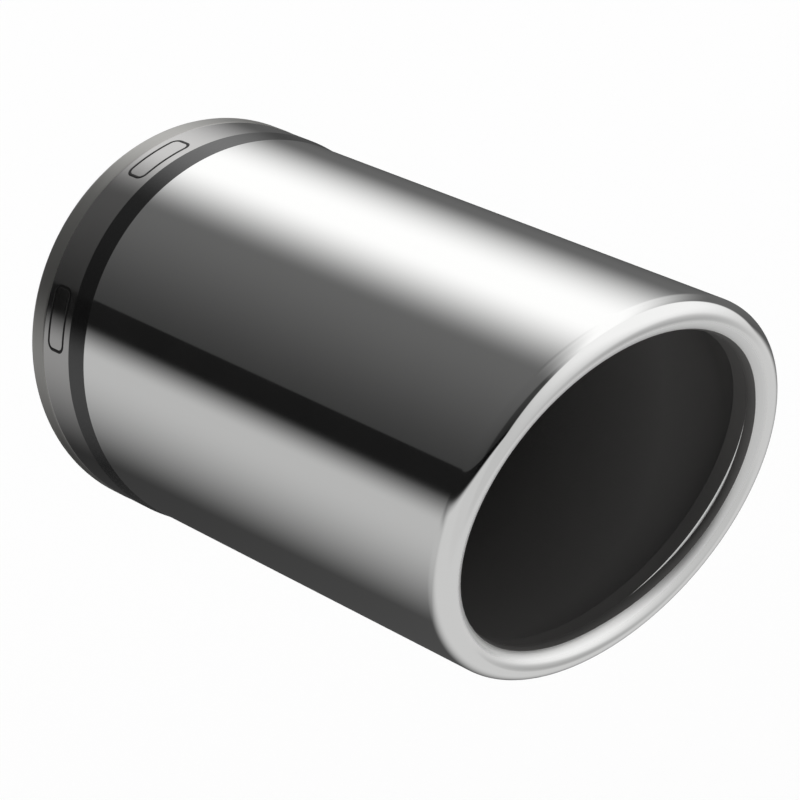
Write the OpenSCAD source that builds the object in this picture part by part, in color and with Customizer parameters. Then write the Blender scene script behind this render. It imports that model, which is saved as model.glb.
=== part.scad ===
// Slanted round exhaust tip: a polished stainless tube with a rolled lip, closed at the rear by
// a pressed end cap that is welded to a slotted inlet sleeve, with a bolted band clamp.
// Millimetres. The tube's axis lies along Y and the mouth faces -Y, with its long side up (+Z).
// The origin is the centre of the inlet sleeve's open rear end.

/* [Body tube] */
// Outside diameter of the polished body
body_d = 100; // [92:1:120]
// Thickness of the sheet that the body, the lip and the collar are formed from
body_wall = 1.2; // [0.8:0.1:1.6]
// Length on the axis, from the rear rim to the front of the lip
body_len = 170; // [140:1:220]

/* [Mouth] */
// Slope of the mouth against a square cut, in degrees
mouth_slope = 21.8; // [0:0.2:35]
// Diameter of the rolled lip, across the roll
lip_d = 8.2; // [6:0.1:12]
// Length of the straight return behind the roll
return_len = 4.5; // [2:0.5:12]

/* [Rear collar] */
// How far the collar stands proud of the body, on the radius
collar_proud = 0.55; // [0.2:0.05:1.2]
// Length of the collar, from the rear rim to the start of the swage
collar_len = 17.8; // [15:0.1:30]
// Length of the tapered swage between the collar and the body
swage_len = 6.2; // [3:0.1:12]
// Length of the hem that is folded inside the rear rim
hem_len = 5.8; // [4:0.1:9]
// How far the hem pushes the rim out past the collar, on the radius
hem_proud = 0.1; // [0:0.05:0.3]

/* [End cap] */
// Thickness of the end cap's sheet
cap_wall = 1.2; // [0.8:0.1:1.6]
// Length of the rim of the cap, which is spot welded inside the collar
cap_rim_len = 9; // [6:0.5:11]
// How far the cone of the cap leans back, from its rim to the sleeve
cap_lean = 5; // [2:0.5:8]
// Length of the cap's inner flange, along the sleeve
cap_flange_len = 6; // [4:0.5:12]
// Bend radius of the cap's pressed corners, on the outside
cap_bend_r = 4; // [3:0.5:4.5]
// Size of the weld bead between the cap and the sleeve
weld_size = 2; // [1:0.5:3]

/* [Inlet sleeve] */
// Bore of the inlet sleeve, which slips over the tailpipe
inlet_d = 60; // [45:0.5:64]
// Thickness of the sleeve's tube
sleeve_wall = 1.5; // [1.2:0.1:2.5]
// Length of the sleeve
sleeve_len = 75; // [50:1:100]
// How far the sleeve stands out behind the rear rim
neck_len = 20; // [18:1:30]
// Number of slots that let the neck close on the pipe
slot_count = 4; // [2:1:6]
// Width of each slot
slot_w = 3; // [2:0.5:5]
// Length of each slot, from the rear end of the sleeve
slot_len = 18; // [12:1:20]

/* [Band clamp] */
// Width of the band
band_w = 12; // [9:1:14]
// Thickness of the band and its ears
band_t = 1.5; // [1:0.1:2]
// Distance from the end of the sleeve to the near edge of the band
band_set = 3; // [2:0.5:4]
// Space between the two ears
ear_gap = 8; // [4:0.5:12]
// Height of the ears above the band
ear_h = 15; // [14.5:0.5:17]
// Radius of the bend from the band into each ear, on the middle of the sheet
ear_bend_r = 3; // [2:0.25:3]
// Radius of the ears' corners
ear_corner_r = 4; // [2:0.5:5]
// Diameter of the clamp bolt
bolt_d = 6; // [5:0.5:6]
// Length of the bolt's shank under the head
bolt_len = 28; // [24:1:36]
// Width across the flats of the bolt head and the nut
hex_af = 10; // [9:0.5:10]
// Thickness of the bolt head
head_h = 4; // [3:0.5:5]
// Thickness of the nut
nut_h = 5; // [4:0.5:6]
// Outside diameter of each washer
washer_d = 12; // [11:0.5:12]
// Thickness of each washer
washer_t = 1.6; // [1:0.2:2]

/* [Clearances] */
// Space between round parts that slip into each other, on the radius
slip_gap = 0.1; // [0.05:0.05:0.2]
// Space round the bolt in the ears and washers, on the radius
bolt_gap = 0.3; // [0.2:0.1:0.5]

/* [Hidden] */

$fn = 96;
steps_round = 96;
steps_lip = 12;
steps_hem = 8;
steps_bend = 6;

body_r = body_d / 2;
collar_r = body_r + collar_proud;
rim_r = collar_r + hem_proud;
lip_r = lip_d / 2;
lip_path_r = body_r - lip_r;
lip_z = neck_len + body_len - lip_r;
slope = tan(mouth_slope);
hem_r = body_wall;
hem_in_r = rim_r - 2 * body_wall;
collar_in_r = collar_r - body_wall;

sleeve_r = inlet_d / 2 + sleeve_wall;
cap_out_r = collar_in_r - slip_gap;
cap_in_r = sleeve_r + slip_gap;
cap_z = neck_len + hem_len + slip_gap;

band_in_r = sleeve_r + slip_gap;
band_out_r = band_in_r + band_t;
band_mid_r = band_in_r + band_t / 2;
ear_end = band_out_r + ear_h;
ear_x = ear_gap / 2;
bend_x = ear_x + band_t / 2 + ear_bend_r;
bend_at = band_mid_r + ear_bend_r;
bend_from = asin(bend_x / bend_at);

bolt_r = bolt_d / 2;
washer_margin = 1;
bolt_at = ear_end - washer_d / 2 - washer_margin;
bolt_hole_r = bolt_r + bolt_gap;
washer_x = ear_x + band_t;
grip_x = washer_x + washer_t;

// The parts are drawn along Z, from the sleeve's rear end towards the mouth, and then laid down
module lay_down() {
    rotate([90, 0, 0]) children();
}

function arc(centre, r, from, to, steps) =
    [for (i = [0 : steps]) let (a = from + (to - from) * i / steps)
        [centre[0] + r * cos(a), centre[1] + r * sin(a)]];

// Directions at an angle round the tube: straight out, round the tube, and square to the lip
function out_dir(a) = [sin(a), cos(a), 0];
function round_dir(a) = [cos(a), -sin(a), 0];
function lip_dir(a) =
    (slope * sin(a) * round_dir(a) + [0, 0, 1]) / sqrt(1 + pow(slope * sin(a), 2));

// Centre of the roll, which follows the sloping mouth
function lip_centre(a) =
    lip_path_r * out_dir(a) + [0, 0, lip_z + slope * lip_path_r * cos(a)];

function roll(a, r, from, to) =
    [for (i = [0 : steps_lip]) let (t = from + (to - from) * i / steps_lip)
        lip_centre(a) + r * (cos(t) * out_dir(a) + sin(t) * lip_dir(a))];

function ring_point(a, r, z) = r * out_dir(a) + [0, 0, z];

// One closed section of the shell: the hemmed rim, the collar, the swage, the outside of the
// body, the roll and its return, and back along the inside
function shell_section(a) = concat(
    [ring_point(a, collar_in_r, neck_len + hem_len), ring_point(a, hem_in_r, neck_len + hem_len)],
    [for (p = arc([rim_r - hem_r, neck_len + hem_r], hem_r, 180, 360, steps_hem))
        ring_point(a, p[0], p[1])],
    [ring_point(a, rim_r, neck_len + hem_len), ring_point(a, collar_r, neck_len + hem_len + hem_r),
     ring_point(a, collar_r, neck_len + collar_len),
     ring_point(a, body_r, neck_len + collar_len + swage_len)],
    roll(a, lip_r, 0, 180),
    [lip_centre(a) - lip_r * out_dir(a) - return_len * lip_dir(a),
     lip_centre(a) - (lip_r - body_wall) * out_dir(a) - return_len * lip_dir(a)],
    roll(a, lip_r - body_wall, 180, 0),
    [ring_point(a, body_r - body_wall, neck_len + collar_len + swage_len),
     ring_point(a, collar_in_r, neck_len + collar_len)]);

module body_shell() {
    sections = [for (i = [0 : steps_round - 1]) shell_section(360 * i / steps_round)];
    n = len(sections[0]);
    points = [for (s = sections) each s];
    faces = [for (i = [0 : steps_round - 1]) for (j = [0 : n - 1])
        let (k = (i + 1) % steps_round, m = (j + 1) % n)
            each [[i * n + j, i * n + m, k * n + m], [i * n + j, k * n + m, k * n + j]]];
    color("silver") lay_down() polyhedron(points, faces, convexity = 8);
}

module end_cap() {
    lean_r = cap_out_r - cap_bend_r;
    throat_r = cap_in_r + cap_bend_r;
    outside = concat(
        [[cap_out_r, cap_z + cap_rim_len]],
        arc([lean_r, cap_z + cap_bend_r], cap_bend_r, 0, -90, steps_bend),
        [[throat_r, cap_z - cap_lean]],
        arc([throat_r, cap_z - cap_lean + cap_bend_r], cap_bend_r, -90, -180, steps_bend),
        [[cap_in_r, cap_z - cap_lean + cap_flange_len]]);
    bend_in_r = cap_bend_r - cap_wall;
    inside = concat(
        [[cap_in_r + cap_wall, cap_z - cap_lean + cap_flange_len]],
        arc([throat_r, cap_z - cap_lean + cap_bend_r], bend_in_r, -180, -90, steps_bend),
        arc([lean_r, cap_z + cap_bend_r], bend_in_r, -90, 0, steps_bend),
        [[cap_out_r - cap_wall, cap_z + cap_rim_len]]);
    color("dimgray") lay_down() rotate_extrude() polygon(concat(outside, inside));
}

// The bead fills the corner behind the cap's inner bend, a little clear of it
module cap_weld() {
    bend = [cap_in_r + cap_bend_r, cap_z - cap_lean + cap_bend_r];
    r = cap_bend_r + slip_gap;
    from = acos(cap_bend_r / r);
    to = acos((cap_bend_r - weld_size) / r);
    color("gray") lay_down() rotate_extrude()
        polygon(concat(
            arc(bend, r, 180 + from, 180 + to, steps_bend),
            arc([cap_in_r, bend[1] - r * sin(to)], weld_size, 0, -90, steps_bend)));
}

module slots() {
    for (i = [0 : slot_count - 1])
        rotate([0, 0, 45 + 360 * i / slot_count]) {
            translate([0, -slot_w / 2, -1])
                cube([sleeve_r + 1, slot_w, slot_len - slot_w / 2 + 1]);
            translate([0, 0, slot_len - slot_w / 2]) rotate([0, 90, 0])
                cylinder(h = sleeve_r + 1, d = slot_w, $fn = 32);
        }
}

module inlet_sleeve() {
    color("darkgray") lay_down() difference() {
        cylinder(h = sleeve_len, r = sleeve_r);
        translate([0, 0, -1]) cylinder(h = sleeve_len + 2, r = inlet_d / 2);
        slots();
    }
}

// One side of the band, at a distance outwards from the middle of its sheet: from the top round
// to the bend, out through the bend, and down to the end of the ear
function band_line(off) = concat(
    arc([0, 0], band_mid_r + off, 90, bend_from - 90, steps_round / 2),
    arc([bend_x, -bend_at * cos(bend_from)], ear_bend_r - off, 90 + bend_from, 180, steps_bend),
    [[bend_x - ear_bend_r + off, -ear_end]]);

function back_to_front(line) = [for (i = [len(line) - 1 : -1 : 0]) line[i]];
function other_side(line) = [for (i = [1 : len(line) - 1]) [-line[i][0], line[i][1]]];

module band_strip() {
    outside = band_line(band_t / 2);
    inside = band_line(-band_t / 2);
    linear_extrude(band_w) polygon(concat(
        outside, back_to_front(inside), other_side(inside), back_to_front(other_side(outside))));
}

// What is cut from both ears at one corner, drawn at that corner
module ear_corner() {
    width = ear_gap + 2 * band_t + 2;
    translate([-width / 2, 0, 0]) difference() {
        translate([0, -1, -1]) cube([width, ear_corner_r + 1, ear_corner_r + 1]);
        translate([-1, ear_corner_r, ear_corner_r]) rotate([0, 90, 0])
            cylinder(h = width + 2, r = ear_corner_r, $fn = 48);
    }
}

// The clamp is drawn with its ears pointing down
module clamp_band() {
    color("silver") lay_down() translate([0, 0, band_set]) difference() {
        band_strip();
        translate([0, -ear_end, 0]) ear_corner();
        translate([0, -ear_end, band_w]) mirror([0, 0, 1]) ear_corner();
        translate([-ear_x - 2 * band_t, -bolt_at, band_w / 2]) rotate([0, 90, 0])
            cylinder(h = ear_gap + 4 * band_t, r = bolt_hole_r, $fn = 48);
    }
}

// Places a part of the bolt at a distance along its axis, which crosses the ears
module on_bolt(x) {
    lay_down() translate([x, -bolt_at, band_set + band_w / 2]) rotate([0, 90, 0]) children();
}

module hex(h) {
    cylinder(h = h, d = hex_af / cos(30), $fn = 6);
}

module clamp_bolt() {
    color("silver") {
        on_bolt(-grip_x - head_h) hex(head_h);
        on_bolt(-grip_x) cylinder(h = bolt_len, r = bolt_r, $fn = 48);
    }
}

module clamp_nut() {
    color("silver") on_bolt(grip_x) difference() {
        hex(nut_h);
        translate([0, 0, -1]) cylinder(h = nut_h + 2, r = bolt_r + slip_gap, $fn = 48);
    }
}

module washer() {
    difference() {
        cylinder(h = washer_t, d = washer_d, $fn = 48);
        translate([0, 0, -1]) cylinder(h = washer_t + 2, r = bolt_hole_r, $fn = 48);
    }
}

module head_washer() {
    color("gainsboro") on_bolt(-grip_x) washer();
}

module nut_washer() {
    color("gainsboro") on_bolt(washer_x) washer();
}

body_shell();
end_cap();
cap_weld();
inlet_sleeve();
clamp_band();
clamp_bolt();
clamp_nut();
head_washer();
nut_washer();
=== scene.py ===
from math import acos, asin, atan2, cos, degrees, pi, radians, sin, sqrt, tan

import bmesh
import bpy
from mathutils import Matrix, Vector


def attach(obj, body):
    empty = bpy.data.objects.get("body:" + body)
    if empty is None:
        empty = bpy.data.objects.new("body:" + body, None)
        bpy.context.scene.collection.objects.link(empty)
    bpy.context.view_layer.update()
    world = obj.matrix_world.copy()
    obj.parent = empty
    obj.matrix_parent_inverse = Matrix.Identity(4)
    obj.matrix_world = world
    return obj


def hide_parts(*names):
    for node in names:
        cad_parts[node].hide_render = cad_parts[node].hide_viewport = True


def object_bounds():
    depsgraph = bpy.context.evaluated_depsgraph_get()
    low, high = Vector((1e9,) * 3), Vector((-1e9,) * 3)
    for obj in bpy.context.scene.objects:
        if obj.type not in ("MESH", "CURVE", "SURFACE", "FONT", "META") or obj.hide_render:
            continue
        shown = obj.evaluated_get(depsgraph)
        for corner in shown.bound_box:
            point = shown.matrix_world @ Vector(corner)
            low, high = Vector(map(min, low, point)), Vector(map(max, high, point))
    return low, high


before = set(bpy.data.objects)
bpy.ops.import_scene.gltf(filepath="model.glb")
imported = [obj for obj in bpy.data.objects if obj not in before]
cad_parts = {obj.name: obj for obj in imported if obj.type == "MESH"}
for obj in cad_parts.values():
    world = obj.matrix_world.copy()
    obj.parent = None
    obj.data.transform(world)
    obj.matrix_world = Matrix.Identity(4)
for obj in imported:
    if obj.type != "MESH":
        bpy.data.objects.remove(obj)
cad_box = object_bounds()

# Body tube
# Collar, swage, body and lip are one sheet of 1.2 mm stainless, rolled and welded into a tube. Its
# mouth is cut at a slant and rolled inwards, its rear edge is hemmed, and the outside is polished.
# The collar is only ground, its hem brushed, the swage enamelled and the inside sprayed black.
MM = 0.001
wall = 1.2 * MM
body_r = 50 * MM
collar_r = body_r + 0.55 * MM
rim_r = collar_r + 0.1 * MM
neck_len = 20 * MM
hem_end = neck_len + 5.8 * MM
collar_end = neck_len + 17.8 * MM
swage_end = collar_end + 6.2 * MM
lip_r = 4.1 * MM
inner_lip_r = lip_r - wall
lip_path_r = body_r - lip_r
lip_at = neck_len + 170 * MM - lip_r
return_len = 4.5 * MM
slope = tan(radians(21.8))
# Degrees round the roll, from the outside of the tube. The mop doesn't reach its far side, the
# inside coating laps over it, and a bare step is left where the roll was pressed in.
mop_ends, mop_fades = 100, 25
coating_starts = 147
groove_from, step_at, step_ends = 150, 173.5, 178.5
# The step is deepest and widest on the lower right and runs out 48 degrees to each side of that.
# Past there it is only a hair wide. The coating laps 9 degrees further over the roll beside it.
step_h = 0.65 * MM
step_middle, step_spread = radians(126), radians(48)
step_least = 0.3
more_lap = 9
# Rows of points this close beside a bend keep the reflections straight up to it.
edge = 0.15 * MM
body_rows = 12
# Bends sharper than this show as an edge.
sharp_bend = radians(35)


def arc(centre, r, start, end, steps):
    angles = [radians(start + (end - start) * i / steps) for i in range(steps + 1)]
    return [(centre[0] + r * cos(a), centre[1] + r * sin(a)) for a in angles]


def turned(profile, steps, closed=True):
    """A part turned about the tube's axis, from points of radius and distance ahead of the inlet."""
    bm = bmesh.new()
    verts = [bm.verts.new((0, -ahead, r)) for r, ahead in profile]
    pairs = list(zip(verts, verts[1:])) + ([(verts[-1], verts[0])] if closed else [])
    edges = [bm.edges.new(pair) for pair in pairs]
    bmesh.ops.spin(bm, geom=verts + edges, cent=(0, 0, 0), axis=(0, 1, 0), dvec=(0, 0, 0),
                   angle=2 * pi, steps=steps, use_merge=True)
    bmesh.ops.remove_doubles(bm, verts=bm.verts, dist=1e-6)
    return bm


def finished(name, bm, materials, slot, *nodes):
    """Points the faces outwards and makes the mesh a piece that stands for the named nodes."""
    bmesh.ops.remove_doubles(bm, verts=bm.verts, dist=1e-6)
    bmesh.ops.recalc_face_normals(bm, faces=bm.faces)
    mesh = bpy.data.meshes.new(name)
    bm.to_mesh(mesh)
    bm.free()
    for material in materials:
        mesh.materials.append(material)
    mesh.shade_smooth()
    mesh.set_sharp_from_angle(angle=sharp_bend)
    piece = bpy.data.objects.new(name, mesh)
    bpy.context.scene.collection.objects.link(piece)
    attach(piece, "root")
    if nodes:
        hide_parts(*nodes)
    return piece


def colour(code):
    """Linear colour from an sRGB hex value."""
    parts = [int(code[i:i + 2], 16) / 255 for i in (1, 3, 5)]
    return [p / 12.92 if p <= 0.04045 else ((p + 0.055) / 1.055) ** 2.4 for p in parts] + [1]


def add(tree, kind, inputs={}, **settings):
    """Adds a node; an input is given a value, or a socket that it is linked to."""
    node = tree.nodes.new(kind)
    for key, value in settings.items():
        setattr(node, key, value)
    for key, value in inputs.items():
        if isinstance(value, bpy.types.NodeSocket):
            tree.links.new(value, node.inputs[key])
        else:
            node.inputs[key].default_value = value
    return node


def new_material(name, base, roughness, metallic=0):
    """A material with plain values, its node tree, its shader and the place on the part."""
    material = bpy.data.materials.new(name)
    material.use_nodes = True
    tree = material.node_tree
    shader = tree.nodes["Principled BSDF"]
    shader.inputs["Base Color"].default_value = colour(base)
    shader.inputs["Roughness"].default_value = roughness
    shader.inputs["Metallic"].default_value = metallic
    return material, tree, shader, add(tree, "ShaderNodeTexCoord").outputs["Object"]


def roughen(tree, shader, pattern, low, high):
    """Lets a pattern vary the roughness between two values."""
    spread = add(tree, "ShaderNodeMapRange", {"Value": pattern, "From Min": 0.3, "From Max": 0.7,
                                              "To Min": low, "To Max": high})
    tree.links.new(spread.outputs["Result"], shader.inputs["Roughness"])


def relief(tree, shader, pattern, depth):
    """Raises a pattern off the surface, to a depth in metres."""
    bump = add(tree, "ShaderNodeBump", {"Height": pattern, "Distance": depth, "Strength": 1})
    tree.links.new(bump.outputs["Normal"], shader.inputs["Normal"])


def noise(tree, place, size, detail=2, stretch=(1, 1, 1)):
    """Noise whose blotches are about a given size in metres, longer along a stretched axis."""
    scale = tuple(1 / (size * s) for s in stretch)
    mapped = add(tree, "ShaderNodeMapping", {"Vector": place, "Scale": scale})
    return add(tree, "ShaderNodeTexNoise", {"Vector": mapped.outputs["Vector"], "Scale": 1,
                                            "Detail": detail}).outputs["Fac"]


# Mirror-polished stainless: near white, reflects sharply, with faint smears and fine buffing lines
# round the tube. The lines are really a few micrometres apart and are drawn 0.4 mm apart to show.
# The roll's far side, which the mesh marks, stays satin.
mirror_stainless, tree, shader, place = new_material("mirror_polished_stainless", "#f2f2f1", 0.06, 1)
roughen(tree, shader, noise(tree, place, 18 * MM, 4), 0.03, 0.05)
dull = add(tree, "ShaderNodeAttribute", attribute_name="unpolished").outputs["Fac"]
buffed = shader.inputs["Roughness"].links[0].from_socket
dulled = add(tree, "ShaderNodeMath", {0: dull, 1: 0.45, 2: buffed}, operation="MULTIPLY_ADD")
tree.links.new(dulled.outputs["Value"], shader.inputs["Roughness"])
relief(tree, shader, noise(tree, place, 0.4 * MM, 2, (1000, 1, 1000)), 0.0004 * MM)

# Satin stainless: the hem's outside, brushed round the tube, so reflections blur into soft bands.
# Its brush lines are really about 0.05 mm apart and are drawn 0.3 mm apart to show.
satin_stainless, tree, shader, place = new_material("satin_brushed_stainless", "#adaca9", 0.34, 1)
lines = noise(tree, place, 0.3 * MM, 2, (60, 1, 60))
roughen(tree, shader, lines, 0.3, 0.4)
relief(tree, shader, lines, 0.004 * MM)

# Fine-ground stainless: the collar, one step short of a mirror, so greyer and a little softer.
ground_stainless, tree, shader, place = new_material("fine_ground_stainless", "#b9b8b7", 0.1, 1)
roughen(tree, shader, noise(tree, place, 9 * MM, 4), 0.08, 0.12)

# Black enamel: a glossy baked coat, nearly black face on and shiny where it is seen at a slant.
black_enamel, tree, shader, place = new_material("black_baked_enamel", "#0d0d0d", 0.12)
shader.inputs["IOR"].default_value = 1.6
relief(tree, shader, noise(tree, place, 1.5 * MM), 0.004 * MM)

# Heat-resistant coating: a matt sprayed charcoal coat, grainy and a little uneven in tone.
# Deeper in than 25 mm it is painted greyer, as painted fill light that lifts the shade deep inside
# the tube.
black_coating, tree, shader, place = new_material("heat_resistant_matt_coating", "#5c5b5a", 0.8)
shader.inputs["Specular IOR Level"].default_value = 0.3
depth = add(tree, "ShaderNodeSeparateXYZ", {"Vector": place}).outputs["Y"]
# Painted fill light: from about 25 mm inside the mouth the coat turns lighter, against the tube's
# shade, with a real random mottle added.
painted_fill_deeper_in = add(tree, "ShaderNodeMapRange", {"Value": depth, "From Min": -170 * MM, "From Max": -145 * MM})
mottle_and_painted_fill = add(tree, "ShaderNodeMath", {0: noise(tree, place, 25 * MM, 5), 1: 0.15,
                                       2: painted_fill_deeper_in.outputs["Result"]}, operation="MULTIPLY_ADD")
tone = add(tree, "ShaderNodeMix", {"Factor": mottle_and_painted_fill.outputs["Value"],
                                   "A": colour("#494847"), "B": colour("#706f6e")},
           data_type="RGBA")
tree.links.new(tone.outputs["Result"], shader.inputs["Base Color"])
relief(tree, shader, noise(tree, place, 0.5 * MM), 0.02 * MM)

outside = (
    arc((rim_r - wall, neck_len + wall), wall, 180, 360, 16)
    + [(rim_r, neck_len + wall + edge), (rim_r, hem_end - edge), (rim_r, hem_end)]
    + [(collar_r, hem_end + 2 * edge), (collar_r, hem_end + 4 * edge)]
    + [(collar_r, collar_end - edge), (collar_r, collar_end)]
    + [(body_r, swage_end), (body_r, swage_end + edge)]
    + [(body_r, swage_end + (lip_at - swage_end) * i / body_rows) for i in range(1, body_rows)]
    + [(body_r, lip_at - 2 * edge), (body_r, lip_at - edge)]
    + arc((lip_path_r, lip_at), lip_r, 0, coating_starts, 42)
    + arc((lip_path_r, lip_at), lip_r, coating_starts, step_at, 10)[1:]
    + arc((lip_path_r, lip_at), lip_r, step_ends, 180, 1)
    + [(lip_path_r - lip_r, lip_at - edge), (lip_path_r - lip_r, lip_at - return_len + edge)]
    + [(lip_path_r - lip_r + edge, lip_at - return_len)])
inside = (
    [(lip_path_r - inner_lip_r, lip_at - return_len)]
    + arc((lip_path_r, lip_at), inner_lip_r, 180, 0, 16)
    + [(body_r - wall, swage_end), (collar_r - wall, collar_end)]
    + [(collar_r - wall, hem_end), (rim_r - 2 * wall, hem_end)])

skins = [mirror_stainless, satin_stainless, ground_stainless, black_enamel, black_coating]
bm = turned(outside + inside, 256)
unpolished = bm.verts.layers.float.new("unpolished")
for face in bm.faces:
    centre = face.calc_center_median()
    r, ahead = sqrt(centre.x ** 2 + centre.z ** 2), -centre.y
    round_roll = degrees(atan2(ahead - lip_at, r - lip_path_r))
    inner = r < body_r - wall / 2 and (ahead < lip_at or round_roll > coating_starts)
    if ahead < hem_end + 2 * edge:
        face.material_index = skins.index(satin_stainless)
    elif ahead < collar_end and not inner:
        face.material_index = skins.index(ground_stainless)
    elif ahead < swage_end and not inner:
        face.material_index = skins.index(black_enamel)
    elif inner and not step_at < round_roll < step_ends:
        face.material_index = skins.index(black_coating)
for vert in bm.verts:
    a = atan2(vert.co.x, vert.co.z)
    r, ahead = sqrt(vert.co.x ** 2 + vert.co.z ** 2), -vert.co.y
    round_roll = degrees(atan2(ahead - lip_at, r - lip_path_r))
    to_roll = sqrt((ahead - lip_at) ** 2 + (r - lip_path_r) ** 2)
    if to_roll > lip_r - edge and mop_ends < round_roll < step_at + 0.1:
        # The far side of the roll: less polish, a groove that deepens towards the step, and the
        # rows on either side of the coating's edge shifted to where it ends.
        vert[unpolished] = min(1, (round_roll - mop_ends) / mop_fades)
        off = (a - step_middle + pi) % (2 * pi) - pi
        pressed = max(0, cos(off * pi / 2 / step_spread))
        at_step = max(0, (round_roll - groove_from) / (step_at - groove_from)) ** 2
        to_roll -= step_h * pressed ** 4 * at_step
        narrower = (step_ends - step_at - step_least) * (1 - pressed ** 4) * at_step
        before = (round_roll - mop_ends) / (coating_starts - mop_ends)
        after = (step_at - round_roll) / (step_at - coating_starts)
        round_roll = radians(round_roll + narrower - more_lap * pressed * min(before, after))
        r, ahead = lip_path_r + to_roll * cos(round_roll), lip_at + to_roll * sin(round_roll)
    lift = slope * lip_path_r * cos(a)
    if r < lip_path_r or ahead > lip_at - edge / 2:
        # The roll and its return lean with the slant, square to the edge of the mouth.
        tilt = slope * sin(a)
        past = (ahead - lip_at) / sqrt(1 + tilt ** 2)
        side = past * tilt
        vert.co = (r * sin(a) + side * cos(a), -(lip_at + lift + past), r * cos(a) - side * sin(a))
    elif ahead > swage_end:
        # The rows of the body tip over step by step, from square to the full slant.
        vert.co.y -= lift * (ahead - swage_end) / (lip_at - swage_end)
finished("polished_body", bm, skins, "mirror_stainless", "body_shell")

# Marking frames
# Two empty frames, 49 mm apart, that a marking wheel has rolled into the ground collar. Each is
# a thin raised line that the laser has darkened afterwards.
frame_len = 17 * MM
frame_w = 7.4 * MM
frame_corner = 2.4 * MM
frame_ahead = 31.7 * MM
frame_line = 0.95 * MM
frame_rise = 0.06 * MM
first_frame, frame_pitch = -66.4, 55.6

# Laser-darkened steel: the same sheet, turned dull and nearly black along the marking line.
marked_steel, tree, shader, place = new_material("laser_darkened_stainless", "#2c2b2b", 0.45, 1)
roughen(tree, shader, noise(tree, place, 0.4 * MM), 0.35, 0.55)

bm = bmesh.new()
out_x, out_y = frame_len / 2 - frame_corner, frame_w / 2 - frame_corner
points = 48
rings = []
# Across the line: its two feet are sunk into the collar, and its top is half as wide.
for inset, rise in ((0, -0.3), (0.25, 1), (0.75, 1), (1, -0.3)):
    ring = bmesh.ops.create_circle(
        bm, segments=points, radius=frame_corner - frame_line * inset,
        matrix=Matrix.Translation((0, 0, frame_rise * rise)) @ Matrix.Rotation(pi / points, 4, "Z"))
    rings.append(bm.edges[:][-points:])
    for vert in ring["verts"]:
        vert.co.x += out_x if vert.co.x > 0 else -out_x
        vert.co.y += out_y if vert.co.y > 0 else -out_y
for one, two in zip(rings, rings[1:] + rings[:1]):
    bmesh.ops.bridge_loops(bm, edges=one + two)
# The long sides are cut up so that they bend with the collar.
straight = [e for e in bm.edges if abs(e.verts[0].co.x - e.verts[1].co.x) > out_x]
bmesh.ops.subdivide_edges(bm, edges=straight, cuts=10, use_grid_fill=True)
second = bmesh.ops.duplicate(bm, geom=bm.verts[:] + bm.edges[:] + bm.faces[:])["geom"]
bmesh.ops.translate(bm, vec=(radians(frame_pitch) * collar_r, 0, 0),
                    verts=[item for item in second if isinstance(item, bmesh.types.BMVert)])
for vert in bm.verts:
    a, r = radians(first_frame) + vert.co.x / collar_r, collar_r + vert.co.z
    vert.co = (r * sin(a), -frame_ahead + vert.co.y, r * cos(a))
finished("marking_frames", bm, [marked_steel], "mirror_stainless")

# End cap
# A pressed ring of 1.2 mm steel that closes the space between the collar and the sleeve. Its rim
# is spot welded inside the collar, its inner flange lies on the sleeve, and it is coated black.
gap = 0.1 * MM
cap_wall = 1.2 * MM
cap_bend = 4 * MM
cap_lean = 5 * MM
cap_rim_len = 9 * MM
cap_flange_len = 6 * MM
cap_at = hem_end + gap
sleeve_wall = 1.5 * MM
bore_r = 30 * MM
sleeve_r = bore_r + sleeve_wall
cap_out = collar_r - wall - gap
cap_in = sleeve_r + gap
rim_bend = (cap_out - cap_bend, cap_at + cap_bend)
throat_bend = (cap_in + cap_bend, cap_at - cap_lean + cap_bend)
flange_end = cap_at - cap_lean + cap_flange_len
profile = (
    [(cap_out, cap_at + cap_rim_len)]
    + arc(rim_bend, cap_bend, 0, -90, 16)
    + [(rim_bend[0] - edge, cap_at - edge * cap_lean / (rim_bend[0] - throat_bend[0]))]
    + arc(throat_bend, cap_bend, -90, -180, 16)
    + [(cap_in, flange_end), (cap_in + cap_wall, flange_end)]
    + arc(throat_bend, cap_bend - cap_wall, -180, -90, 12)
    + arc(rim_bend, cap_bend - cap_wall, -90, 0, 12)
    + [(cap_out - cap_wall, cap_at + cap_rim_len)])

# Black stove coating on the pressing: darker and smoother than the spray inside the tube.
stove_black, tree, shader, place = new_material("black_stove_coating", "#1b1b1b", 0.55)
roughen(tree, shader, noise(tree, place, 6 * MM, 4), 0.45, 0.65)
relief(tree, shader, noise(tree, place, 0.6 * MM), 0.015 * MM)
finished("end_cap_pressing", turned(profile, 192), [stove_black], "black_coated_steel", "end_cap")

# Weld bead
# A run of weld in the corner behind the end cap, laid right round the sleeve in one pass. Its
# ripples are where the torch paused, about every 2.5 mm.
bead = 2 * MM
bend_r = cap_bend + gap
reach = sqrt(bend_r ** 2 - (cap_bend - bead) ** 2)
top = throat_bend[1] - reach
ripples = 83
ripple_depth = 0.22 * MM
under = asin((cap_bend - bead) / bend_r)
profile = (
    arc(throat_bend, bend_r, 180 + degrees(acos(cap_bend / bend_r)), 270 - degrees(under), 6)
    + arc((cap_in, top), bead, 0, -90, 10))
bm = turned(profile, ripples * 8)
for vert in bm.verts:
    r, ahead = sqrt(vert.co.x ** 2 + vert.co.z ** 2), -vert.co.y
    across = atan2(top - ahead, r - cap_in)
    if ahead < top and r > cap_in + gap:
        phase = (atan2(vert.co.x, vert.co.z) / (2 * pi) * ripples + 0.4 * sin(2 * across)) % 1
        drop = ripple_depth * (1 - phase) * sin(2 * across)
        thinner = 1 - drop * cos(across) / r
        vert.co = (vert.co.x * thinner, vert.co.y - drop * sin(across), vert.co.z * thinner)

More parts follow.
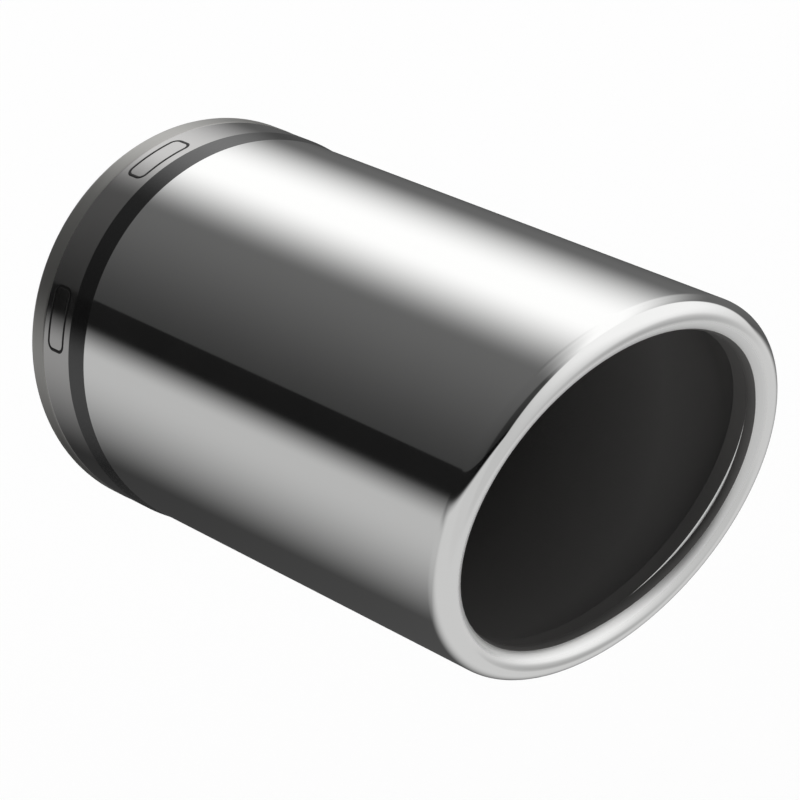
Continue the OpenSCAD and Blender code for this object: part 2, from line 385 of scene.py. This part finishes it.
# Weld metal: bright stainless filler, satin between the ripples, with straw and blue heat tint.
weld_metal, tree, shader, place = new_material("stainless_weld_metal", "#a7a19a", 0.35, 1)
tint = add(tree, "ShaderNodeValToRGB", {"Fac": noise(tree, place, 9 * MM, 3)})
tint.color_ramp.elements[0].position, tint.color_ramp.elements[0].color = 0.35, colour("#8d8478")
tint.color_ramp.elements[1].position, tint.color_ramp.elements[1].color = 0.65, colour("#b0aca8")
tree.links.new(tint.outputs["Color"], shader.inputs["Base Color"])
roughen(tree, shader, noise(tree, place, 1.2 * MM), 0.25, 0.45)
relief(tree, shader, noise(tree, place, 0.8 * MM, 3), 0.03 * MM)
finished("weld_bead", bm, [weld_metal], "weld_steel", "cap_weld")

# Inlet sleeve
# A tube of 1.5 mm steel, bent from a flat strip, that slips over the car's tailpipe. Four slots
# in its end let the neck close on the pipe when the clamp is tightened.
sleeve_len = 75 * MM
slot_len = 18 * MM
slot_w = 3 * MM
sheet_edge = 0.18 * MM
sprayed_from = 28 * MM


def flat_sheet(outlines, columns, rows, thickness):
    """A flat strip in X and Y, from its outline and holes, cut into columns and rows to be bent."""
    bm = bmesh.new()
    for outline in outlines:
        verts = [bm.verts.new((x, y, 0)) for x, y in outline]
        for one, two in zip(verts, verts[1:] + verts[:1]):
            bm.edges.new((one, two))
    bmesh.ops.triangle_fill(bm, edges=bm.edges, use_beauty=True, use_dissolve=True)
    cuts = [((x, 0, 0), (1, 0, 0)) for x in columns] + [((0, y, 0), (0, 1, 0)) for y in rows]
    for spot, way in cuts:
        bmesh.ops.bisect_plane(bm, geom=bm.verts[:] + bm.edges[:] + bm.faces[:], dist=1e-7,
                               plane_co=spot, plane_no=way)
    bmesh.ops.recalc_face_normals(bm, faces=bm.faces)
    bmesh.ops.solidify(bm, geom=bm.faces, thickness=thickness)
    lowest = min(vert.co.z for vert in bm.verts)
    bmesh.ops.translate(bm, verts=bm.verts, vec=(0, 0, -lowest - thickness / 2))
    return bm


def ease_edges(bm, width):
    """Rounds off every sharp edge."""
    edges = [e for e in bm.edges if len(e.link_faces) == 2 and e.calc_face_angle(0) > 1]
    bmesh.ops.bevel(bm, geom=edges, offset=width, segments=2, affect="EDGES", profile=0.5,
                    material=-1, clamp_overlap=True)


middle_r = bore_r + sleeve_wall / 2
half_turn = pi * middle_r
outline = [(half_turn, 0), (half_turn, sleeve_len), (-half_turn, sleeve_len), (-half_turn, 0)]
for quarter in range(4):
    centre = (radians(-135 + 90 * quarter) * middle_r, slot_len - slot_w / 2)
    outline += [(centre[0] - slot_w / 2, 0)] + arc(centre, slot_w / 2, 180, 0, 12)
    outline += [(centre[0] + slot_w / 2, 0)]
columns = [half_turn * i / 64 for i in range(-63, 64)]
bm = flat_sheet([outline], columns, [sprayed_from], sleeve_wall)
# The strip's two ends are welded to each other, so they have no faces.
seam = [f for f in bm.faces if all(abs(abs(v.co.x) - half_turn) < 1e-6 for v in f.verts)]
bmesh.ops.delete(bm, geom=seam, context="FACES")
ease_edges(bm, sheet_edge)
# Past the end cap the sleeve is sprayed black together with the inside of the tube.
for face in bm.faces:
    face.material_index = 1 if face.calc_center_median().y > sprayed_from else 0
for vert in bm.verts:
    a, r = vert.co.x / middle_r, middle_r + vert.co.z
    vert.co = (r * sin(a), -vert.co.y, r * cos(a))

# Drawn tube steel: dull silver with fine lines along it, tinted straw and blue beside the weld.
# The lines are really about 0.1 mm apart and are drawn 0.4 mm apart to show.
tube_steel, tree, shader, place = new_material("drawn_stainless_tube", "#b9b7b3", 0.35, 1)
along = add(tree, "ShaderNodeSeparateXYZ", {"Vector": place}).outputs["Y"]
uneven = add(tree, "ShaderNodeMath", {0: noise(tree, place, 10 * MM), 1: 3 * MM, 2: along},
             operation="MULTIPLY_ADD")
heat = add(tree, "ShaderNodeMapRange", {"Value": uneven.outputs["Value"], "From Min": -6 * MM,
                                        "From Max": -19 * MM})
ramp_node = add(tree, "ShaderNodeValToRGB", {"Fac": heat.outputs["Result"]})
stops = ramp_node.color_ramp.elements
stops[0].position, stops[0].color = 0.2, colour("#b9b7b3")
stops[1].position, stops[1].color = 1, colour("#6d7486")
stops.new(0.55).color = colour("#bda878")
stops.new(0.8).color = colour("#8c6f6a")
tree.links.new(ramp_node.outputs["Color"], shader.inputs["Base Color"])
lines = noise(tree, place, 0.4 * MM, 2, (1, 80, 1))
roughen(tree, shader, lines, 0.28, 0.42)
relief(tree, shader, lines, 0.006 * MM)
finished("slotted_sleeve", bm, [tube_steel, black_coating], "tube_steel", "inlet_sleeve")

# Band clamp
# One strip of 1.5 mm stainless bent round the slotted neck, with its two ends bent out as ears
# for the bolt. It is slipped on loose and pinches the neck shut on the pipe.
band_w = 12 * MM
band_t = 1.5 * MM
band_set = 3 * MM
band_r = sleeve_r + gap + band_t / 2
ear_x = 4 * MM
ear_bend = 3 * MM
ear_corner = 4 * MM
ear_end = band_r + band_t / 2 + 15 * MM
bolt_drop = ear_end - 7 * MM
bolt_hole = 3.3 * MM
bend_x = ear_x + band_t / 2 + ear_bend
bend_from = asin(bend_x / (band_r + ear_bend))
bend_drop = (band_r + ear_bend) * cos(bend_from)
round_len = band_r * (pi - bend_from)
bend_len = ear_bend * (pi / 2 - bend_from)
half_len = round_len + bend_len + ear_end - bend_drop


def on_strip(s):
    """Place and outward direction on the middle of the strip, a distance to the right of its top."""
    s, side = abs(s), 1 if s > 0 else -1
    if s < round_len:
        out = (sin(s / band_r), cos(s / band_r))
        spot = (band_r * out[0], band_r * out[1])
    elif s < round_len + bend_len:
        a = pi / 2 + bend_from + (s - round_len) / ear_bend
        out = (-cos(a), -sin(a))
        spot = (bend_x + ear_bend * cos(a), -bend_drop + ear_bend * sin(a))
    else:
        out = (1, 0)
        spot = (bend_x - ear_bend, -bend_drop - (s - round_len - bend_len))
    return side * spot[0], spot[1], side * out[0], out[1]


outline = []
for x, y, turn in ((1, 1, 0), (-1, 1, 90), (-1, -1, 180), (1, -1, 270)):
    centre = (x * (half_len - ear_corner), band_w / 2 + y * (band_w / 2 - ear_corner))
    outline += arc(centre, ear_corner, turn, turn + 90, 8)
hole_at = half_len - (ear_end - bolt_drop)
holes = [arc((side * hole_at, band_w / 2), bolt_hole, 0, 360, 48)[:-1] for side in (-1, 1)]
cuts = [side * round_len * i / 60 for i in range(1, 61) for side in (-1, 1)]
cuts += [side * (round_len + bend_len * i / 8) for i in range(1, 9) for side in (-1, 1)]
bm = flat_sheet([outline] + holes, [0] + cuts, [], band_t)
ease_edges(bm, sheet_edge)
for vert in bm.verts:
    x, z, out_x, out_z = on_strip(vert.co.x)
    vert.co = (x + out_x * vert.co.z, -(band_set + vert.co.y), z + out_z * vert.co.z)

# Rolled stainless strip: bright, with a fine grain that runs round the band.
# The grain is really about 0.05 mm wide and is drawn 0.25 mm wide to show.
strip_steel, tree, shader, place = new_material("rolled_stainless_strip", "#cfcdc9", 0.28, 1)
lines = noise(tree, place, 0.25 * MM, 2, (80, 1, 80))
roughen(tree, shader, lines, 0.2, 0.34)
relief(tree, shader, lines, 0.004 * MM)
finished("bent_clamp_band", bm, [strip_steel], "clamp_stainless", "clamp_band")

# Clamp bolt, nut and washers
# An M6 screw with a hexagon head, its nut, and a washer outside each ear. All four are cold
# formed steel with bright zinc plating, and their points and corners are chamfered.
bolt_r = 3 * MM
pitch = 1 * MM
thread_depth = 0.55 * MM
across_flats = 10 * MM
washer_r = 6 * MM
washer_t = 1.6 * MM
head_h = 4 * MM
nut_h = 5 * MM
grip_x = ear_x + band_t + washer_t

# Zinc plating: bright bluish silver, slightly cloudy where the bath left it thicker.
zinc, tree, shader, place = new_material("bright_zinc_plating", "#c6cbd1", 0.25, 1)
tone = add(tree, "ShaderNodeMix", {"Factor": noise(tree, place, 3 * MM, 4),
                                   "A": colour("#b8bfc8"), "B": colour("#d3d4d2")},
           data_type="RGBA")
tree.links.new(tone.outputs["Result"], shader.inputs["Base Color"])
roughen(tree, shader, noise(tree, place, 1.5 * MM, 3), 0.18, 0.34)


def cut_off(bm, spot, way):
    """Cuts away what lies past a plane, and closes the cut."""
    cut = bmesh.ops.bisect_plane(bm, geom=bm.verts[:] + bm.edges[:] + bm.faces[:], dist=1e-7,
                                 plane_co=spot, plane_no=way, clear_outer=True)
    rim = [item for item in cut["geom_cut"] if isinstance(item, bmesh.types.BMEdge)]
    bmesh.ops.holes_fill(bm, edges=rim)


def cut_to_hexagon(bm):
    """Cuts a turned blank down to six flats."""
    for i in range(6):
        way = Vector((cos(radians(30 + 60 * i)), 0, sin(radians(30 + 60 * i))))
        cut_off(bm, way * across_flats / 2, way)


def on_bolt(bm, x):
    """Lays a turned part along the clamp's bolt and moves it to its place there."""
    bmesh.ops.rotate(bm, verts=bm.verts, cent=(0, 0, 0), matrix=Matrix.Rotation(pi / 2, 3, "Z"))
    bmesh.ops.translate(bm, verts=bm.verts, vec=(x, -band_set - band_w / 2, -bolt_drop))
    return bm


# The blanks are a little wider than the hexagon's points, with their ends chamfered at 30 degrees.
blank_r = across_flats / 2 / cos(radians(30)) * 1.01
flat_r = across_flats / 2 * 0.95
chamfer = (blank_r - flat_r) * tan(radians(30))
face_h = 0.3 * MM
thread_from = 13 * MM
bolt_len = 28 * MM
head = turned(
    [(0, 0), (flat_r, 0), (blank_r, chamfer), (blank_r, head_h - face_h), (flat_r, head_h - face_h),
     (flat_r, head_h), (bolt_r, head_h), (bolt_r, head_h + thread_from), (0, head_h + thread_from)],
    96, closed=False)
cut_to_hexagon(head)
turns = int((bolt_len - thread_from) / pitch) + 2
root_r = bolt_r - thread_depth
# One turn's shape, by radius and share of the pitch: a flat root an eighth wide on either side.
profile = [(root_r, 0), (root_r, 1 / 8), (bolt_r, 7 / 16), (bolt_r, 9 / 16), (root_r, 7 / 8),
           (root_r, 1)]
start = head_h + thread_from - 1.5 * pitch
thread = bmesh.new()
verts = [thread.verts.new((0, -start - ahead * pitch, r)) for r, ahead in profile]
edges = [thread.edges.new(pair) for pair in zip(verts, verts[1:])]
steps_a_turn = 32
bmesh.ops.spin(thread, geom=verts + edges, cent=(0, 0, 0), axis=(0, -1, 0),
               dvec=(0, -pitch / steps_a_turn, 0), angle=2 * pi * turns, steps=steps_a_turn * turns)
bmesh.ops.remove_doubles(thread, verts=thread.verts, dist=1e-6)
cut_off(thread, (0, -start - pitch, 0), (0, 1, 0))
cut_off(thread, (0, -head_h - bolt_len, 0), (0, -1, 0))
# The thread's end runs out in a short cone.
for vert in thread.verts:
    r, to_end = sqrt(vert.co.x ** 2 + vert.co.z ** 2), head_h + bolt_len + vert.co.y
    narrower = min(1, (root_r - 0.1 * MM + to_end) / r)
    vert.co = (vert.co.x * narrower, vert.co.y, vert.co.z * narrower)
screw = bpy.data.meshes.new("screw_thread")
thread.to_mesh(screw)
thread.free()
head.from_mesh(screw)
bpy.data.meshes.remove(screw)
finished("hexagon_bolt", on_bolt(head, -grip_x - head_h), [zinc], "zinc_plated_steel", "clamp_bolt")

nut_bore = bolt_r + gap
sink = 0.4 * MM
nut = turned(
    [(nut_bore + sink, 0), (flat_r, 0), (blank_r, chamfer), (blank_r, nut_h - chamfer),
     (flat_r, nut_h), (nut_bore + sink, nut_h), (nut_bore, nut_h - sink), (nut_bore, sink)], 96)
cut_to_hexagon(nut)
finished("hexagon_nut", on_bolt(nut, grip_x), [zinc], "zinc_plated_steel", "clamp_nut")

for name, node, x in (("bolt_head_washer", "head_washer", -grip_x),
                      ("bolt_nut_washer", "nut_washer", ear_x + band_t)):
    washer = turned([(bolt_hole, 0), (washer_r, 0), (washer_r, washer_t), (bolt_hole, washer_t)], 64)
    ease_edges(washer, sheet_edge)
    finished(name, on_bolt(washer, x), [zinc], "zinc_plated_steel", node)

# Studio
# A plain pale floor well below the part, which is held up by its inlet as it is on a car, and a
# pale room. Polished metal shows what stands round it, so it mirrors a set of its own: soft
# lamps and cards along the tube in a dark room, and a pale front with a bright card.
floor_drop = 0.3
floor_size = 12
bm = bmesh.new()
bmesh.ops.create_grid(bm, x_segments=1, y_segments=1, size=floor_size / 2,
                      matrix=Matrix.Translation((0, 0, cad_box[0][2] - floor_drop)))
mesh = bpy.data.meshes.new("floor")
bm.to_mesh(mesh)
bm.free()
floor = bpy.data.objects.new("floor", mesh)
bpy.context.scene.collection.objects.link(floor)
# Pale paper: white and fully matt, so it stays even right across the picture.
floor_paper, _, shader, _ = new_material("pale_paper", "#fefefe", 0.9)
shader.inputs["Specular IOR Level"].default_value = 0
mesh.materials.append(floor_paper)
floor.visible_glossy = False

world = bpy.data.worlds.new("studio")
bpy.context.scene.world = world
world.use_nodes = True
tree = world.node_tree
room = tree.nodes["Background"]
room.inputs["Color"].default_value = (1, 1, 1, 1)
room.inputs["Strength"].default_value = 1
direction = add(tree, "ShaderNodeTexCoord").outputs["Generated"]
parts = add(tree, "ShaderNodeSeparateXYZ", {"Vector": direction})


def maths(operation, *values):
    """The output of one Math node."""
    return add(tree, "ShaderNodeMath", dict(enumerate(values)), operation=operation).outputs["Value"]


def ramp(value, low, high):
    """A smooth rise from 0 at low to 1 at high."""
    return add(tree, "ShaderNodeMapRange", {"Value": value, "From Min": low, "From Max": high},
               interpolation_type="SMOOTHSTEP").outputs["Result"]


# Directions are taken round the tube: how far from straight back, and how far over to the right
# from straight up. The lamps stand a little askew to the tube, and the twist turns them about
# the ring of directions, 41 degrees from straight back, that the tube's side mirrors.
twist, mirrored_at = 0.18, 41
from_back = maths("DEGREES", maths("ARCCOSINE", parts.outputs["Y"]))
around = maths("DEGREES", maths("ARCTAN2", parts.outputs["X"], parts.outputs["Z"]))
around = maths("ADD", around, maths("MULTIPLY_ADD", from_back, twist, -mirrored_at * twist))


def strip(centre, low_out, low_in, high_in, high_out):
    """A long soft strip beside the tube: full between the inner angles, gone at the outer ones."""
    offset = maths("WRAP", maths("SUBTRACT", around, centre), 180, -180)
    return maths("MULTIPLY", ramp(offset, -low_out, -low_in), ramp(offset, high_out, high_in))


def disc(azimuth, elevation, inner, outer):
    """A round soft card in front, by the compass angle and height of its middle."""
    a, e = radians(azimuth), radians(elevation)
    middle = (sin(a) * cos(e), -cos(a) * cos(e), sin(e))
    near = add(tree, "ShaderNodeVectorMath", {0: direction, 1: middle}, operation="DOT_PRODUCT")
    angle = maths("DEGREES", maths("ARCCOSINE", near.outputs["Value"]))
    return ramp(angle, outer, inner)


# The large soft lamp, over to the right. Its near end is turned in a little, towards the mouth.
key_centre = maths("MULTIPLY_ADD", ramp(from_back, mirrored_at, 70), -9, 44)
key_lamp = maths("MULTIPLY", strip(key_centre, 50, 10, 0, 52), 0.98)
# A dim bounce card on the left, and the pale table under the tube, which fades towards the back.
left_bounce = maths("MULTIPLY", strip(-103, 75, 2, 2, 21), 0.48)
table = maths("MULTIPLY", strip(-169, 72, 58, 76, 90), ramp(from_back, 34, 90))
table = maths("MULTIPLY", table, 0.6)
# Dark walls, a little lighter overhead and darkest beside the pale front.
walls = maths("MULTIPLY_ADD", strip(1, 80, 0, 94, 150), 0.095, 0.04)
walls = maths("MULTIPLY", walls, maths("MULTIPLY_ADD", ramp(from_back, 113, 125), -0.6, 1))
# A narrow black flag above the bounce card, crisp along its upper edge.
black_flag = maths("MULTIPLY_ADD", strip(-76, 11, 5, 7.4, 8.6), -0.78, 1)
lamps = maths("ADD", key_lamp, maths("MAXIMUM", left_bounce, table))
set_behind = maths("MULTIPLY", maths("ADD", walls, lamps), black_flag)
# The pale front, with a bright card up on the right and a grey stand low in front of it.
front = maths("MULTIPLY_ADD", disc(50, 30, 25, 85), 0.43, 0.57)
front = maths("MULTIPLY_ADD", disc(48, -35, 6, 24), -0.2, front)
mixed = add(tree, "ShaderNodeMix", {"Factor": disc(31, 0, 55.5, 61), "A": set_behind, "B": front})
glossy = add(tree, "ShaderNodeBackground", {"Color": (1, 1, 1, 1),
                                            "Strength": mixed.outputs["Result"]})
rays = add(tree, "ShaderNodeLightPath")
choice = add(tree, "ShaderNodeMixShader", {0: rays.outputs["Is Glossy Ray"],
                                           1: room.outputs["Background"],
                                           2: glossy.outputs["Background"]})
tree.links.new(choice.outputs["Shader"], tree.nodes["World Output"].inputs["Surface"])

# Camera
# The photograph looks at the mouth from the left and above, with a long lens held a little tilted.
azimuth, elevation, roll = radians(-31.53), radians(25.16), radians(10.8)
distance = 1.061
aim = Vector((0, -0.1069, 0))
focal_px, photo_px = 4431, 800
back = Vector((sin(azimuth) * cos(elevation), -cos(azimuth) * cos(elevation), sin(elevation)))
level_right = Vector((cos(azimuth), sin(azimuth), 0))
level_up = back.cross(level_right)
up = level_up * cos(roll) + level_right * sin(roll)
right = up.cross(back)
camera_data = bpy.data.cameras.new("camera")
camera_data.lens = camera_data.sensor_width * focal_px / photo_px
camera = bpy.data.objects.new("camera", camera_data)
camera.matrix_world = Matrix.Translation(aim + back * distance) @ Matrix(
    (right, up, back)).transposed().to_4x4()
bpy.context.scene.collection.objects.link(camera)
bpy.context.scene.camera = camera

scene = bpy.context.scene
scene.view_settings.view_transform = "Standard"
bpy.context.view_layer.update()
